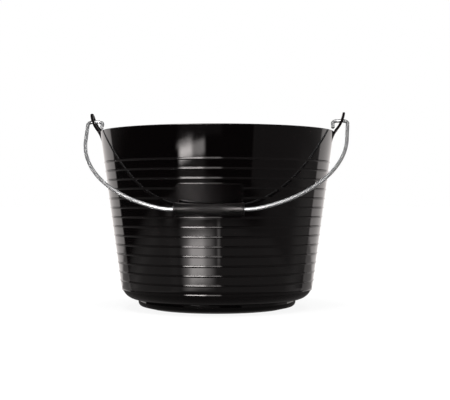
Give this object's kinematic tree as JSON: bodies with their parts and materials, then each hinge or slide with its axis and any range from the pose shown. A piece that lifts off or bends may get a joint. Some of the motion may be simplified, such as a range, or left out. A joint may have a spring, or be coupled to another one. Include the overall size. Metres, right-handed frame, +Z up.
{
  "type": "feed bucket",
  "caption": "Round moulded feed bucket with a stepped base, ringed wall, bare label plate and a swinging wire bail with a grip.",
  "frame": {"origin": "on the bucket's axis, on the plane that its foot ring stands on", "axes": "+Z up along the bucket's axis, +X along the bail's pivot line towards the right ear, -Y towards the front, where the label plate is and the bail rests"},
  "size_m": [0.376, 0.3351, 0.2776],
  "materials": {
    "bucket_plastic": "glossy black moulded plastic",
    "bail_wire": "drawn wire, bright zinc coated",
    "grip_plastic": "matt dark charcoal moulded plastic"
  },
  "bodies": {
    "bucket": {"bucket": "bucket_plastic"},
    "bail": {"bail": "bail_wire"},
    "grip": {"grip": "grip_plastic"}
  },
  "joints": [
    {"name": "bail_swing", "type": "hinge", "parent": "bucket", "child": "bail", "pos_m": [0, 0, 0.2654], "axis": [-1, 0, 0], "range_deg": [0, 256.4]},
    {"name": "grip_spin", "type": "hinge", "parent": "bail", "child": "grip", "pos_m": [0, -0.15997, 0.14043], "axis": [1, 0, 0], "continuous": true}
  ]
}
